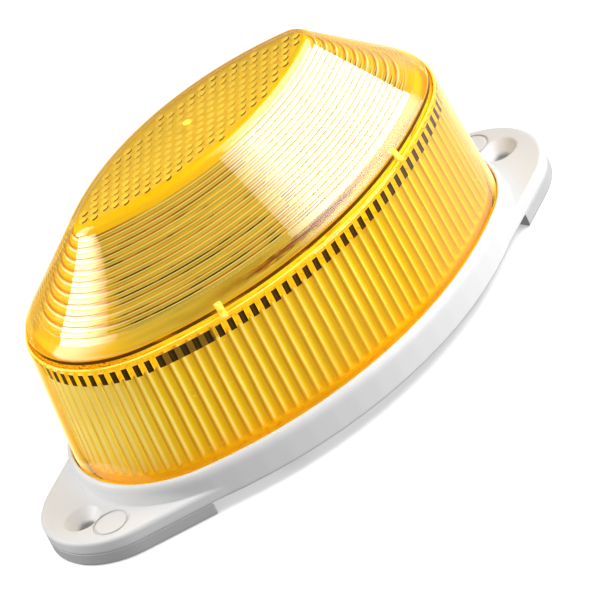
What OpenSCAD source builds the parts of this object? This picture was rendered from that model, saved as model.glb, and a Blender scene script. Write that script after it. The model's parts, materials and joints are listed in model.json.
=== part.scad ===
// Surface-mounting strobe beacon: an oval amber lens over a white two-eared base.
// Frame: X runs along the ears, Z points up through the lens, and the origin is the
// centre of the mounting surface that the two feet stand on.

/* [Lens] */
// Half length of the lens where it leaves the base
lens_a = 50; // [48:0.5:52]
// Half width of the lens where it leaves the base
lens_b = 31; // [30:0.5:32]
// Radius of the lens's two end arcs
lens_r = 23.4; // [23:0.1:24.5]
// Height of the lens above the base's rim
lens_h = 46.9; // [46:0.1:50]
// Height of the shoulder above the rim
shoulder_h = 26.1; // [25:0.1:27]
// Thickness of the lens wall
lens_wall = 2.2; // [1.8:0.1:2.4]

/* [Base] */
// Height of the feet under the ears
foot_h = 2.8; // [2:0.1:4]
// Thickness of the ears
ear_t = 2.75; // [2.5:0.05:4]
// Height of the rim above the ears
rim_h = 4.4; // [4:0.1:6]
// Thickness of the base's floor
floor_t = 1.8; // [1.5:0.1:2]
// Distance from the centre to each ear's tip
ear_tip_x = 63.5; // [62:0.5:66]
// Radius of each ear's rounded tip
ear_tip_r = 15.6; // [14:0.1:17]

/* [Screw holes] */
// Distance from the centre to each screw hole
hole_x = 56.8; // [55:0.1:58]
// Diameter of each screw hole
hole_d = 3.4; // [3:0.1:4]
// Diameter of each countersink at the ear's face
sink_d = 7.4; // [6.5:0.1:8]

/* [Electronics] */
// Height of the circuit board's underside above the mounting surface
board_z = 9.4; // [9:0.1:10]
// Height of the reflector's deck above the board
deck_gap = 11; // [10.8:0.1:13]
// Centre-to-centre distance of the flash tube's two legs
tube_pitch = 16; // [14:1:18]
// Outer diameter of the flash tube
tube_d = 6; // [5:0.5:7]

/* [Hidden] */
$fn = 48;

// The plan oval: two end arcs and two side arcs that meet without a corner
end_x = lens_a - lens_r;
side_r = (end_x * end_x + lens_b * lens_b - lens_r * lens_r) / (2 * (lens_b - lens_r));
side_y = side_r - lens_b;
join_angle = atan(end_x / side_y);
end_steps = 24;
side_steps = 16;

// Levels above the mounting surface
ear_z = foot_h + ear_t;
rim_z = ear_z + rim_h;
floor_z = foot_h + floor_t;
lens_drop = 2.6;
lens_z = rim_z - lens_drop;
gasket_t = 1;
ledge_z = lens_z - gasket_t;
board_t = 1.6;
board_top = board_z + board_t;
deck_z = board_top + deck_gap;
deck_t = 1.5;
deck_top = deck_z + deck_t;

// Outward offsets of the base's walls from the lens oval
rim_gap = 0.3;
collar_off = 1.5;
rim_round = 2.1;
rim_edge = 0.15;
floor_off = 3.4;

// Rounded edges of the ears and feet
tip_steps = 24;
edge_steps = 4;
ear_edge_r = 0.8;
foot_edge_r = 0.6;
seam_r = 0.2;

// Roof of the lens, as inward offsets from the lens oval
groove_off = 2.4;
groove_deep = 0.6;
roof_off = 2.75;
roof_z = shoulder_h + 1.8;
top_off = 19.8;
top_z = lens_h - 1;
roof_slope = (top_z - roof_z) / (top_off - roof_off);
roof_wall = 2.5;
ceiling_z = top_z - 1.2;
ceiling_off = roof_off + roof_wall + (ceiling_z - roof_z) / roof_slope;

// Lens screws and the columns they enter
column_x = 23.5;
column_y = 22.8;
column_r = 2.6;
column_top = rim_z + 23;
lens_screw_r = 1.45;
lens_screw_len = 14;
head_seat = foot_h + 2;
screw_clear = 0.05;

// Pegs that locate each foot under its ear
peg_at = [[50, 9], [50, -9]];
peg_r = 1.5;
peg_h = 1.4;

// Board, reflector and fixings
board_off = 10.5;
skirt_off = 10.7;
skirt_wall = 1.5;
brim_off = 3.6;
brim_z = 12.4;
brim_t = 1.2;
board_fixings = [[33, 0], [-14, 13.5], [-14, -13.5]];
board_screw_r = 1.05;
inlet_x = -20;
inlet_r = 3;
inlet_wall = 2;
lead_hole_r = 0.7;

// Terminal block
term_x = -31;
term_pitch = 5.08;
term_size = [8, 11, 10];
term_entry_z = board_top + 3.2;
term_head_r = 1.9;
term_shank_r = 1.2;
term_well_z = board_top + 7.2;

// Flash tube
tube_wall = 0.8;
tube_z = deck_top + 1;
tube_bend_z = tube_z + 11.5;
pin_r = 0.4;
pin_rise = 3;
socket_size = [26, 10, 5];

// Centre and size of each board component that stands in a plain block
trigger_coil_at = [-4, 10];
capacitor_at = [10, -11];
capacitor_r = 4.5;
capacitor_len = 18;
capacitor_z = board_top + capacitor_r + 0.2;
bung_r = 3.6;
transformer_at = [17, 7];
transformer_size = [14, 12, 10];
window_w = 3;
transistor_at = [27, -6];
film_at = [[-6, -6.5], [-5.5, -12.5]];
film_size = [8, 4, 8.5];
standoff = 0.3;
diode_at = [[-12.5, 6], [-15.5, 6]];
diode_half = 2.6;
diode_r = 1.35;
diode_z = board_top + 1.7;
resistor_at = [[27.2, 5.5, 90], [30, 5.5, 90], [4, 15.6, 0], [-7, 15.6, 0]];
resistor_half = 3.1;
resistor_z = board_top + 1.5;

// Points round the oval, moved inward by off
function oval(off) = concat(
    [for (i = [0 : end_steps - 1])
        let (t = (join_angle - 90) + i * (180 - 2 * join_angle) / end_steps)
        [end_x + (lens_r - off) * cos(t), (lens_r - off) * sin(t)]],
    [for (i = [0 : side_steps - 1])
        let (t = 90 - join_angle + i * 2 * join_angle / side_steps)
        [(side_r - off) * cos(t), (side_r - off) * sin(t) - side_y]],
    [for (i = [0 : end_steps - 1])
        let (t = (90 + join_angle) + i * (180 - 2 * join_angle) / end_steps)
        [(lens_r - off) * cos(t) - end_x, (lens_r - off) * sin(t)]],
    [for (i = [0 : side_steps - 1])
        let (t = 270 - join_angle + i * 2 * join_angle / side_steps)
        [(side_r - off) * cos(t), (side_r - off) * sin(t) + side_y]]
);

// Closed skin through a stack of rings with equal numbers of points, capped at both ends
module skin(rings) {
    n = len(rings[0]);
    last = len(rings) - 1;
    walls = [for (k = [0 : last - 1]) for (i = [0 : n - 1])
        [k * n + i, (k + 1) * n + i, (k + 1) * n + (i + 1) % n, k * n + (i + 1) % n]];
    first_cap = [for (i = [0 : n - 1]) i];
    last_cap = [for (i = [0 : n - 1]) last * n + n - 1 - i];
    polyhedron([for (r = rings) each r], concat(walls, [first_cap, last_cap]));
}

// Oval skin through a list of levels [inward offset, height, scale]
module oval_skin(levels) {
    skin([for (l = levels) [for (p = oval(l[0])) [p[0] * l[2], p[1] * l[2], l[1]]]]);
}

// Closed ring swept round the oval from a closed section of [inward offset, height]
module oval_ring(section) {
    n = 2 * (end_steps + side_steps);
    m = len(section);
    points = [for (s = section) for (p = oval(s[0])) [p[0], p[1], s[1]]];
    polyhedron(points, [for (k = [0 : m - 1]) for (i = [0 : n - 1])
        [k * n + i, k * n + (i + 1) % n, ((k + 1) % m) * n + (i + 1) % n, ((k + 1) % m) * n + i]]);
}

// Upright oval slab from z0 to z1
module oval_slab(off, z0, z1) {
    translate([0, 0, z0]) linear_extrude(z1 - z0) polygon(oval(off));
}

// Upright oval wall from z0 to z1 between an outer and an inner offset
module oval_wall(outer, inner, z0, z1) {
    difference() {
        oval_slab(outer, z0, z1);
        oval_slab(inner, z0 - 1, z1 + 1);
    }
}

module rod(at, r, z0, z1) {
    translate([at[0], at[1], z0]) cylinder(h = z1 - z0, r = r);
}

module block(at, size, z0) {
    translate([at[0] - size[0] / 2, at[1] - size[1] / 2, z0]) cube(size);
}

module at_columns() {
    for (sx = [-1, 1], sy = [-1, 1]) translate([sx * column_x, sy * column_y, 0]) children();
}

// Outline of one ear, moved inward by inset: the round tip and the two lines that touch the collar
function ear_outline(inset) =
    let (
        tip_x = ear_tip_x - ear_tip_r,
        tip_r = ear_tip_r - inset,
        root_r = lens_r + collar_off - inset,
        taper = asin((root_r - tip_r) / (tip_x - end_x)),
        root = [end_x + root_r * sin(taper), root_r * cos(taper)]
    )
    concat(
        [for (i = [0 : tip_steps])
            let (t = (taper - 90) + i * (180 - 2 * taper) / tip_steps)
            [tip_x + tip_r * cos(t), tip_r * sin(t)]],
        [root, [0, root[1]], [0, -root[1]], [root[0], -root[1]]]
    );

// Ear-shaped plate from z0 to z1 with its lower and upper edges rounded
module ear_plate(z0, z1, low_r, high_r) {
    low = [for (i = [0 : edge_steps])
        let (t = 90 * i / edge_steps)
        [low_r * (1 - sin(t)), z0 + low_r * (1 - cos(t))]];
    high = [for (i = [0 : edge_steps])
        let (t = 90 * i / edge_steps)
        [high_r * (1 - cos(t)), z1 - high_r * (1 - sin(t))]];
    skin([for (l = concat(low, high)) [for (p = ear_outline(l[0])) [p[0], p[1], l[1]]]]);
}

module countersunk_hole() {
    sink_depth = (sink_d - hole_d) / 2;
    translate([hole_x, 0, foot_h - 1]) cylinder(h = ear_t + 2, d = hole_d);
    translate([hole_x, 0, ear_z - sink_depth]) cylinder(h = sink_depth, d1 = hole_d, d2 = sink_d);
    translate([hole_x, 0, ear_z]) cylinder(h = 1, d = sink_d);
}

// Shallow round line beside each screw hole
module ear_mark() {
    mark_at = [55.4, 7.2];
    mark_r = 3.4;
    half_line = 0.2;
    mark_deep = 0.2;
    difference() {
        rod(mark_at, mark_r + half_line, ear_z - mark_deep, ear_z + 1);
        rod(mark_at, mark_r - half_line, ear_z - 1, ear_z + 2);
    }
}

module base_housing() color("whitesmoke") {
    boss_r = 4.2;
    head_well_r = 3.1;
    fixing_r = 3;
    difference() {
        union() {
            for (turn = [0, 180]) rotate(turn) ear_plate(foot_h, ear_z, seam_r, ear_edge_r);
            oval_slab(-collar_off, foot_h, ledge_z);
            collar();
        }
        difference() {
            oval_slab(floor_off, floor_z, rim_z);
            at_columns() cylinder(h = ledge_z, r = boss_r);
        }
        at_columns() {
            translate([0, 0, foot_h - 1]) cylinder(h = head_seat - foot_h + 1, r = head_well_r);
            cylinder(h = rim_z, r = lens_screw_r + 0.2);
        }
        for (turn = [0, 180]) rotate(turn) {
            countersunk_hole();
            ear_mark();
            for (p = peg_at) rod(p, peg_r + screw_clear, 0, foot_h + peg_h + 0.1);
        }
        rod([inlet_x, 0], inlet_r + inlet_wall, 0, rim_z);
    }
    for (p = board_fixings) difference() {
        rod(p, fixing_r, floor_z, board_z);
        rod(p, board_screw_r + screw_clear, floor_z, board_z + 1);
    }
}

// Upstanding collar with a rounded outer edge
module collar() {
    round_steps = 6;
    oval_ring(concat(
        [[-rim_gap, ledge_z], [-rim_gap, rim_z - rim_edge], [-rim_gap - rim_edge, rim_z]],
        [for (i = [1 : round_steps])
            let (t = i * 90 / round_steps)
            [-rim_gap - rim_edge - (collar_off - rim_gap - rim_edge) * sin(t),
                rim_z - rim_round * (1 - cos(t))]],
        [[-collar_off, ledge_z]]
    ));
}

module foot() {
    end_at = 43.7;
    end_skew = 7;
    reach = [40, 60, foot_h + 2];
    difference() {
        union() {
            intersection() {
                ear_plate(0, foot_h, foot_edge_r, seam_r);
                translate([end_at, 0, -1]) rotate(end_skew)
                    translate([0, -reach[1] / 2, 0]) cube(reach);
            }
            for (p = peg_at) rod(p, peg_r, foot_h - 0.5, foot_h + peg_h);
        }
        rod([hole_x, 0], hole_d / 2, -1, foot_h + 1);
    }
}

module left_foot() color("gainsboro") rotate(180) foot();

module right_foot() color("gainsboro") foot();

module lens() color("orange") {
    difference() {
        union() {
            oval_skin([
                [ceiling_off, rim_z + ceiling_z, 1],
                [roof_off + roof_wall, rim_z + roof_z, 1],
                [1.5 + lens_wall, rim_z + 24.6, 1],
                [lens_wall, lens_z, 1],
                [0, lens_z, 1],
                [0, rim_z, 1],
                [1.4, rim_z + 22, 1],
                [1.55, rim_z + shoulder_h - 1, 1],
                [1.75, rim_z + shoulder_h - 0.3, 1],
                [2, rim_z + shoulder_h, 1],
                [groove_off - 0.1, rim_z + shoulder_h - groove_deep, 1],
                [groove_off + 0.1, rim_z + shoulder_h - groove_deep, 1],
                [groove_off + 0.15, rim_z + roof_z - 0.3, 1],
                [roof_off, rim_z + roof_z, 1],
                [top_off, rim_z + top_z, 1],
                [20.5, rim_z + top_z + 0.35, 1],
                [21.2, rim_z + top_z + 0.55, 1],
                [21.2, rim_z + top_z + 0.85, 0.65],
                [21.2, rim_z + lens_h, 0.2]
            ]);
            at_columns() translate([0, 0, lens_z]) cylinder(h = column_top - lens_z, r = column_r);
        }
        at_columns() translate([0, 0, lens_z - 1])
            cylinder(h = lens_screw_len + 2, r = lens_screw_r + screw_clear);
    }
}

module lens_gasket() color("dimgray") {
    gasket_outer = 0.1;
    gasket_inner = 1.9;
    oval_wall(gasket_outer, gasket_inner, ledge_z, lens_z);
}

// Cross recess cut in a screw head, its floor at z0
module cross_recess(slot_len, slot_w, z0) {
    for (turn = [0, 90]) rotate(turn)
        translate([-slot_len / 2, -slot_w / 2, z0]) cube([slot_len, slot_w, 2]);
}

module lens_screws() color("silver") at_columns() {
    head_h = 1.7;
    head_r = 2.8;
    difference() {
        union() {
            translate([0, 0, head_seat - head_h]) cylinder(h = head_h, r = head_r);
            translate([0, 0, head_seat]) cylinder(h = lens_screw_len, r = lens_screw_r);
        }
        cross_recess(3.2, 0.8, head_seat - head_h - 1);
    }
}

module cable_grommet() color("black") {
    at = [inlet_x, 0];
    lip_r = inlet_r + 3.2;
    lip_below = 1;
    lip_above = 1.2;
    difference() {
        union() {
            rod(at, inlet_r + inlet_wall, foot_h, floor_z);
            rod(at, lip_r, foot_h - lip_below, foot_h);
            rod(at, lip_r, floor_z, floor_z + lip_above);
        }
        rod(at, inlet_r, 0, floor_z + lip_above + 1);
    }
}

module circuit_board() color("darkgreen") {
    fixing_hole_r = 1.6;
    cable_hole_r = 3.5;
    difference() {
        oval_slab(board_off, board_z, board_top);
        for (p = board_fixings) rod(p, fixing_hole_r, 0, deck_z);
        rod([inlet_x, 0], cable_hole_r, 0, deck_z);
    }
}

module board_screws() color("silver") {
    head_r = 2.5;
    head_h = 1.5;
    for (p = board_fixings) difference() {
        union() {
            rod(p, head_r, board_top, board_top + head_h);
            rod(p, board_screw_r, floor_z + 0.4, board_top);
        }
        translate([p[0], p[1], 0]) cross_recess(2.8, 0.7, board_top + 0.8);
    }
}

// White deck over the board, with a way in to the terminal block
module reflector() color("white") {
    way_in = [11, 14, 6];
    difference() {
        union() {
            oval_slab(skirt_off, board_top, deck_top);
            oval_slab(brim_off, brim_z, brim_z + brim_t);
        }
        oval_slab(skirt_off + skirt_wall, board_top - 1, deck_z);
        at_columns() cylinder(h = deck_z, r = column_r + 0.6);
        translate([term_x, 0, deck_z + 1]) cube(way_in, center = true);
        for (x = [-tube_pitch / 2, 0, tube_pitch / 2]) rod([x, 0], lead_hole_r, deck_z - 1, deck_top + 1);
    }
}

module at_tube_legs() {
    for (s = [-1, 1]) translate([s * tube_pitch / 2, 0, 0]) children();
}

module tube_socket() color("ivory") {
    wire_hole_r = 0.5;
    above = deck_top + socket_size[2] + 1;
    difference() {
        block([0, 0], socket_size, deck_top);
        at_tube_legs() {
            rod([0, 0], tube_d / 2 + screw_clear, tube_z, above);
            rod([0, 0], lead_hole_r, deck_top - 1, tube_z + 1);
        }
        rod([0, 0], wire_hole_r, deck_top - 1, above);
    }
}

// U-shaped tube of the given radius
module tube_body(r, z0) {
    at_tube_legs() rod([0, 0], r, z0, tube_bend_z);
    translate([0, 0, tube_bend_z]) rotate([90, 0, 0])
        rotate_extrude(angle = 180) translate([tube_pitch / 2, 0]) circle(r = r);
}

module flash_tube() color("lightcyan") difference() {
    tube_body(tube_d / 2, tube_z);
    tube_body(tube_d / 2 - tube_wall, tube_z + 2);
    at_tube_legs() rod([0, 0], pin_r + screw_clear, tube_z - 1, tube_z + pin_rise);
}

module tube_electrodes() color("dimgray") at_tube_legs() {
    tip_r = 1.1;
    tip_h = 3;
    rod([0, 0], pin_r, board_top, tube_z + pin_rise);
    rod([0, 0], tip_r, tube_z + pin_rise, tube_z + pin_rise + tip_h);
}

module trigger_wire() color("silver") {
    wire_r = 0.3;
    turn_pitch = 1.5;
    turn_r = tube_d / 2 + wire_r + 0.02;
    link_z = tube_z + 8;
    link_len = tube_pitch - 2 * turn_r + wire_r;
    rod([0, 0], wire_r, board_top, link_z);
    translate([-link_len / 2, 0, link_z]) rotate([0, 90, 0]) cylinder(h = link_len, r = wire_r);
    at_tube_legs() for (k = [-1 : 1]) translate([0, 0, link_z + k * turn_pitch])
        rotate_extrude() translate([turn_r, 0]) circle(r = wire_r);
}

module trigger_coil() color("midnightblue") union() {
    cheek = [9, 6, 1.5];
    waist = [6.5, 6, 7.5];
    block(trigger_coil_at, cheek, board_top);
    block(trigger_coil_at, waist, board_top);
    block(trigger_coil_at, cheek, board_top + waist[2] - 0.5);
}

// Children drawn upright at the origin are laid along X on the board, foot at the bung end
module at_capacitor() {
    translate([capacitor_at[0] - capacitor_len / 2, capacitor_at[1], capacitor_z]) rotate([0, 90, 0])
        children();
}

module storage_capacitor() color("darkslateblue") {
    neck_r = capacitor_r - 0.4;
    at_capacitor() rotate_extrude() polygon([
        [0, 1], [bung_r, 1], [bung_r, 0], [neck_r, 0], [capacitor_r, 0.4], [capacitor_r, 1.8],
        [neck_r, 2.2], [neck_r, 2.8], [capacitor_r, 3.2], [capacitor_r, capacitor_len - 0.4],
        [neck_r, capacitor_len], [0, capacitor_len]
    ]);
}

module capacitor_bung() color("black") at_capacitor() translate([0, 0, 0.2]) cylinder(h = 0.8, r = bung_r);

module film_capacitors() color("firebrick") {
    notch = [0.8, film_size[1] + 1, 0.3];
    for (p = film_at) difference() {
        block(p, film_size, board_top + standoff);
        for (s = [-1, 1]) block(p + [s * film_size[0] * 0.4, 0], notch, board_top + standoff);
    }
}

// Wound ferrite transformer, lying with its core round the middle
module transformer_core() color("dimgray") difference() {
    block(transformer_at, [transformer_size[0], 5, transformer_size[2]], board_top + 0.4);
    for (s = [-1, 1]) block(transformer_at + [s * (transformer_size[0] / 2 - 2 - window_w / 2), 0],
        [window_w, 8, transformer_size[2] - 4], board_top + 2.4);
}

module transformer_bobbin() color("black") difference() {
    union() {
        block(transformer_at, [5.2, 12, 5.6], board_top + 2.6);
        for (s = [-1, 1]) block(transformer_at + [0, s * 5.6], [9, 0.8, 9], board_top + 0.4);
    }
    block(transformer_at, [4.1, 14, 4.6], board_top + 3.1);
    block(transformer_at, [14, 5.1, 20], board_top - 1);
}

module transformer_winding() color("goldenrod") for (s = [-1, 1]) difference() {
    block(transformer_at + [0, s * 3.9], [8.6, 2.4, 8.6], board_top + 1.1);
    block(transformer_at + [0, s * 3.9], [5.3, 4, 5.7], board_top + 2.55);
}

module switching_transistor() color("black") {
    body = [8, 2.8, 9.4];
    tab_hole_r = 1.6;
    difference() {
        block(transistor_at, body, board_top + 1);
        translate([transistor_at[0], transistor_at[1] + body[1], board_top + 8]) rotate([90, 0, 0])
            cylinder(h = 2 * body[1], r = tab_hole_r);
    }
}

module rectifier_diodes() color("black") for (p = diode_at)
    translate([p[0], p[1] - diode_half, diode_z]) rotate([-90, 0, 0])
        cylinder(h = 2 * diode_half, r = diode_r);

module resistors() color("tan") for (p = resistor_at)
    translate([p[0], p[1], resistor_z]) rotate(p[2]) rotate([0, 90, 0]) rotate_extrude() polygon([
        [0, -resistor_half], [1.0, -resistor_half], [1.2, -2.8], [1.2, -1.8], [1.0, -1.4], [1.0, 1.4],
        [1.2, 1.8], [1.2, 2.8], [1.0, resistor_half], [0, resistor_half]
    ]);

// A wire that leaves both ends of a body level and turns down into the board
module bent_lead(reach, body_half, z, r) {
    for (turn = [0, 180]) rotate(turn) {
        translate([body_half, 0, z]) rotate([0, 90, 0]) cylinder(h = reach - body_half, r = r);
        rod([reach, 0], r, board_top, z);
        translate([reach, 0, z]) sphere(r = r);
    }
}

module component_leads() color("silver") {
    lead_r = 0.3;
    thick_r = 0.35;
    bend = 1.3;
    for (p = resistor_at) translate([p[0], p[1], 0]) rotate(p[2])
        bent_lead(resistor_half + bend, resistor_half, resistor_z, lead_r);
    for (p = diode_at) translate([p[0], p[1], 0]) rotate(90)
        bent_lead(diode_half + bend + 0.3, diode_half, diode_z, thick_r);
    for (k = [-1 : 1]) rod(transistor_at + [k * 2.3, 0], thick_r, board_top, board_top + 1);
    for (s = [-1, 1]) {
        lead_at = [capacitor_at[0] - capacitor_len / 2 - 1, capacitor_at[1] + s * capacitor_r * 0.4];
        translate([lead_at[0], lead_at[1], capacitor_z]) rotate([0, 90, 0]) cylinder(h = 1.2, r = lead_r);
        rod(lead_at, lead_r, board_top, capacitor_z);
        translate([lead_at[0], lead_at[1], capacitor_z]) sphere(r = lead_r);
    }
}

module at_terminals() {
    for (s = [-1, 1]) translate([term_x, s * term_pitch / 2, 0]) children();
}

module terminal_block() color("seagreen") difference() {
    block([term_x, 0], term_size, board_top);
    at_terminals() {
        translate([0, 0, term_well_z]) cylinder(h = 10, r = term_head_r + 0.2);
        translate([0, 0, board_top + 1]) cylinder(h = 10, r = term_shank_r + 0.3);
        translate([-2.3, -2.1, board_top + 1]) cube([4.6, 4.2, 5.4]);
        translate([0, 0, term_entry_z]) rotate([0, 90, 0]) cylinder(h = 10, r = 1.6);
    }
}

module terminal_clamps() color("gold") at_terminals() difference() {
    translate([-2.1, -1.9, board_top + 1]) cube([4.2, 3.8, 5.2]);
    translate([-5, 0, term_entry_z]) rotate([0, 90, 0]) cylinder(h = 10, r = 1.45);
    translate([0, 0, term_entry_z]) cylinder(h = 10, r = term_shank_r + screw_clear);
}

// Slotted clamp screw
module terminal_screw(side) {
    head_z = term_well_z + 0.3;
    head_h = 1.9;
    shank_z = term_entry_z + 0.6;
    slot = [6, 0.8, 2];
    slot_deep = 0.9;
    translate([term_x, side * term_pitch / 2, 0]) difference() {
        union() {
            rod([0, 0], term_head_r, head_z, head_z + head_h);
            rod([0, 0], term_shank_r, shank_z, head_z);
        }
        translate([-slot[0] / 2, -slot[1] / 2, head_z + head_h - slot_deep]) cube(slot);
    }
}

module terminal_screw_left() color("lightgray") terminal_screw(-1);

module terminal_screw_right() color("lightgray") terminal_screw(1);

base_housing();
left_foot();
right_foot();
lens();
lens_gasket();
lens_screws();
cable_grommet();
circuit_board();
board_screws();
reflector();
tube_socket();
flash_tube();
tube_electrodes();
trigger_wire();
trigger_coil();
storage_capacitor();
capacitor_bung();
film_capacitors();
transformer_core();
transformer_bobbin();
transformer_winding();
switching_transistor();
rectifier_diodes();
resistors();
component_leads();
terminal_block();
terminal_clamps();
terminal_screw_left();
terminal_screw_right();
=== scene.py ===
"""Looks of the surface-mounting strobe beacon: an amber lens over a white two-eared base.

Lengths in the mesh code are millimetres in the part's own frame, and new_object() turns them into
metres. The lens is one closed mesh: a clear glossy skin outside, and a coloured inner surface with
the flutes, windows and ring prisms. Each row of it is the lens's oval, moved inward by an offset.
"""
import json
import math
from collections import namedtuple

import bmesh
import bpy
from mathutils import Matrix, Vector


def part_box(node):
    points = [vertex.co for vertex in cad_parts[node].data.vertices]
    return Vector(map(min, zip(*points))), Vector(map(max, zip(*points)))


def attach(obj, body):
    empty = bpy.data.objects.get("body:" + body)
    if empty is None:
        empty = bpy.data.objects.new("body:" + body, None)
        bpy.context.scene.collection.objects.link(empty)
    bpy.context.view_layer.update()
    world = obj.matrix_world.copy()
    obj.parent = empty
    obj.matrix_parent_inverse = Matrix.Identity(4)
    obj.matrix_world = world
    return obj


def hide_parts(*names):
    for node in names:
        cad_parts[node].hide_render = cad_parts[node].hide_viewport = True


MM = 0.001
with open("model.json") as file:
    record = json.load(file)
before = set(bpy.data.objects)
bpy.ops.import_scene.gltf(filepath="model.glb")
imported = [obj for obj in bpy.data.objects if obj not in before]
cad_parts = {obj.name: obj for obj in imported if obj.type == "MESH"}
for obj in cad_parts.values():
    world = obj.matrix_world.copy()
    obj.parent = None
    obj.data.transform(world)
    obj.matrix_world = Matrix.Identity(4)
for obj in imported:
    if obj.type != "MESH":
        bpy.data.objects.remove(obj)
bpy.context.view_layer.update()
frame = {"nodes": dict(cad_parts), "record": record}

lens_lo, lens_hi = (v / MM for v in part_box("lens"))
LENS_A, LENS_B = lens_hi.x, lens_hi.y
# The lens oval: an arc of END_R round each end and an arc of SIDE_R along each side
END_R = 23.4
END_X = LENS_A - END_R
SIDE_R = (END_X**2 + LENS_B**2 - END_R**2) / (2 * (LENS_B - END_R))
SIDE_Y = SIDE_R - LENS_B
# The skirt reaches down into the base; heights on the lens are counted from the base's rim
SKIRT = 2.6
RIM_Z = lens_lo.z + SKIRT
LENS_H = lens_hi.z - RIM_Z
FLUTES = 102
# Height over which the wall's colours change, about that of the whole wall
WALL_SPAN = 26.0


# ---------------------------------------------------------------- mesh code


def oval_track(count):
    """count points spaced evenly round the lens oval, each with its outward normal."""
    half = math.atan(END_X / SIDE_Y)
    end_len = END_R * (math.pi - 2 * half)
    side_len = SIDE_R * 2 * half
    arcs = (
        (0, SIDE_Y, SIDE_R, side_len / 2, -math.pi / 2),
        (END_X, 0, END_R, end_len, half - math.pi / 2),
        (0, -SIDE_Y, SIDE_R, side_len, math.pi / 2 - half),
        (-END_X, 0, END_R, end_len, math.pi / 2 + half),
        (0, SIDE_Y, SIDE_R, side_len / 2 + 1e-9, -math.pi / 2 - half),
    )
    out = []
    for i in range(count):
        s = i * 2 * (end_len + side_len) / count
        for cx, cy, r, length, start in arcs:
            if s <= length:
                t = start + s / r
                out.append((cx + r * math.cos(t), cy + r * math.sin(t), math.cos(t), math.sin(t)))
                break
            s -= length
    return out


def new_object(name, verts, faces, materials, face_material=None, uvs=None):
    """A smooth mesh object from millimetre vertices, with one material index per face."""
    mesh = bpy.data.meshes.new(name)
    mesh.from_pydata([(x * MM, y * MM, z * MM) for x, y, z in verts], [], faces)
    for m in materials:
        mesh.materials.append(m)
    if face_material:
        mesh.polygons.foreach_set("material_index", face_material)
    mesh.polygons.foreach_set("use_smooth", [True] * len(faces))
    if uvs:
        layer = mesh.uv_layers.new(name="pattern")
        layer.data.foreach_set("uv", [value for face_uv in uvs for uv in face_uv for value in uv])
    mesh.validate()
    mesh.update()
    obj = bpy.data.objects.new(name, mesh)
    bpy.context.scene.collection.objects.link(obj)
    return obj


# ---------------------------------------------------------------- materials


def material(name):
    """A new material with an empty node tree."""
    mat = bpy.data.materials.new(name)
    mat.use_nodes = True
    tree = mat.node_tree
    tree.nodes.clear()
    return mat, tree


def node(tree, kind, inputs=None, **props):
    """A node whose inputs are linked from sockets or set to values."""
    n = tree.nodes.new(kind)
    for key, value in props.items():
        setattr(n, key, value)
    for key, value in (inputs or {}).items():
        if hasattr(value, "is_output"):
            tree.links.new(value, n.inputs[key])
        else:
            n.inputs[key].default_value = value
    return n


def output(tree, shader):
    """Make the shader node the material's surface."""
    node(tree, "ShaderNodeOutputMaterial", {"Surface": shader.outputs[0]})


def maths(tree, op, a, b=0.0, c=None):
    """A Math node's result."""
    ins = {0: a, 1: b}
    if c is not None:
        ins[2] = c
    return node(tree, "ShaderNodeMath", ins, operation=op).outputs[0]


def noise(tree, vector, scale, detail):
    """Noise between 0 and 1 at the given coordinates."""
    ins = {"Vector": vector, "Scale": float(scale), "Detail": detail}
    return node(tree, "ShaderNodeTexNoise", ins).outputs["Fac"]


def ramp(tree, fac, stops):
    """Colours set along fac, as pairs of place and colour."""
    n = node(tree, "ShaderNodeValToRGB", {"Fac": fac})
    while len(n.color_ramp.elements) < len(stops):
        n.color_ramp.elements.new(0.5)
    for element, (place, colour) in zip(n.color_ramp.elements, stops):
        element.position = place
        element.color = (*colour, 1)
    return n.outputs[0]


def levels(tree, fac, *stops):
    """Numbers set along fac, as pairs of place and number."""
    return ramp(tree, fac, [(place, (value, value, value)) for place, value in stops])


def rise(tree, fac, start, full, most=1.0):
    """0 up to start, and most from full on."""
    return levels(tree, fac, (start, 0.0), (full, most))


def mix(tree, fac, a, b):
    """The colour a where fac is 0 and b where it is 1."""
    n = tree.nodes.new("ShaderNodeMix")
    n.data_type = "RGBA"
    for sock, value in ((n.inputs[0], fac), (n.inputs[6], a), (n.inputs[7], b)):
        if hasattr(value, "is_output"):
            tree.links.new(value, sock)
        else:
            sock.default_value = (*value, 1) if isinstance(value, tuple) else value
    return n.outputs[2]


def srgb(text):
    """Linear colour of a six-digit hex colour."""
    out = []
    for i in (0, 2, 4):
        c = int(text[i : i + 2], 16) / 255
        out.append(c / 12.92 if c <= 0.04045 else ((c + 0.055) / 1.055) ** 2.4)
    return tuple(out)


def moulded(name, colour, rough, grain, bump, vary, specular, metallic=0.0, edge=0.0):
    """A solid surface: mottled colour, uneven roughness, fine grain, and edges softened by edge metres."""
    mat, t = material(name)
    co = node(t, "ShaderNodeTexCoord").outputs["Object"]
    broad = noise(t, co, 60, 4.0)
    fine = noise(t, co, grain, 3.0)
    dark = tuple(c * (1 - vary) for c in colour)
    light = tuple(min(1.0, c * (1 + vary)) for c in colour)
    normal = node(t, "ShaderNodeBump", {"Strength": bump, "Distance": 0.0001, "Height": fine})
    if edge:
        bevel = node(t, "ShaderNodeBevel", {"Radius": edge}, samples=8)
        t.links.new(bevel.outputs[0], normal.inputs["Normal"])
    surface = {
        "Base Color": ramp(t, broad, [(0.3, dark), (0.7, light)]),
        "Roughness": maths(t, "MULTIPLY_ADD", fine, 0.16, rough - 0.08),
        "Normal": normal.outputs[0],
        "Metallic": metallic,
        "Specular IOR Level": specular,
    }
    output(t, node(t, "ShaderNodeBsdfPrincipled", surface))
    return mat


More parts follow.
